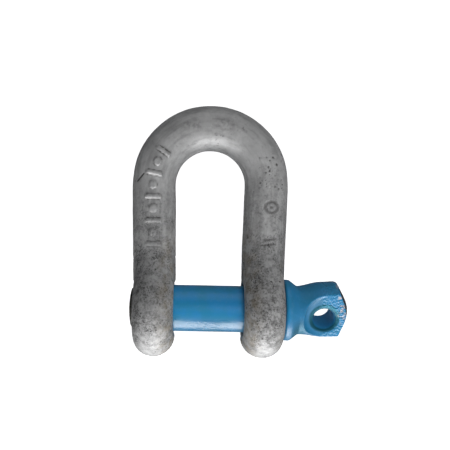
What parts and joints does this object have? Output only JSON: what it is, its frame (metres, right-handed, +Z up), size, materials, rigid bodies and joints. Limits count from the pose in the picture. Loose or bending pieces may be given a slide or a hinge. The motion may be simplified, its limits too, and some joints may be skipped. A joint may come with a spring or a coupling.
{
  "type": "dee shackle",
  "caption": "Galvanised dee shackle with parallel legs and a blue screw pin that has an eye in its flattened head, for joining chain, rope or lifting gear.",
  "frame": {"origin": "on the pin's axis, midway between the two ears", "axes": "+X along the pin towards its head, +Z up to the crown, +Y to the back"},
  "size_m": [0.1321, 0.0582, 0.1523],
  "materials": {
    "galvanised_steel": "hot-dip galvanised, dull and mottled",
    "blue_paint": "gloss enamel over forged steel"
  },
  "bodies": {
    "body": {"shackle_body": "galvanised_steel"},
    "pin": {"screw_pin": "blue_paint"}
  },
  "joints": [
    {"name": "pin_withdraw", "type": "slide", "parent": "body", "child": "pin", "axis": [1, 0, 0], "range_m": [0, 0.1]}
  ]
}
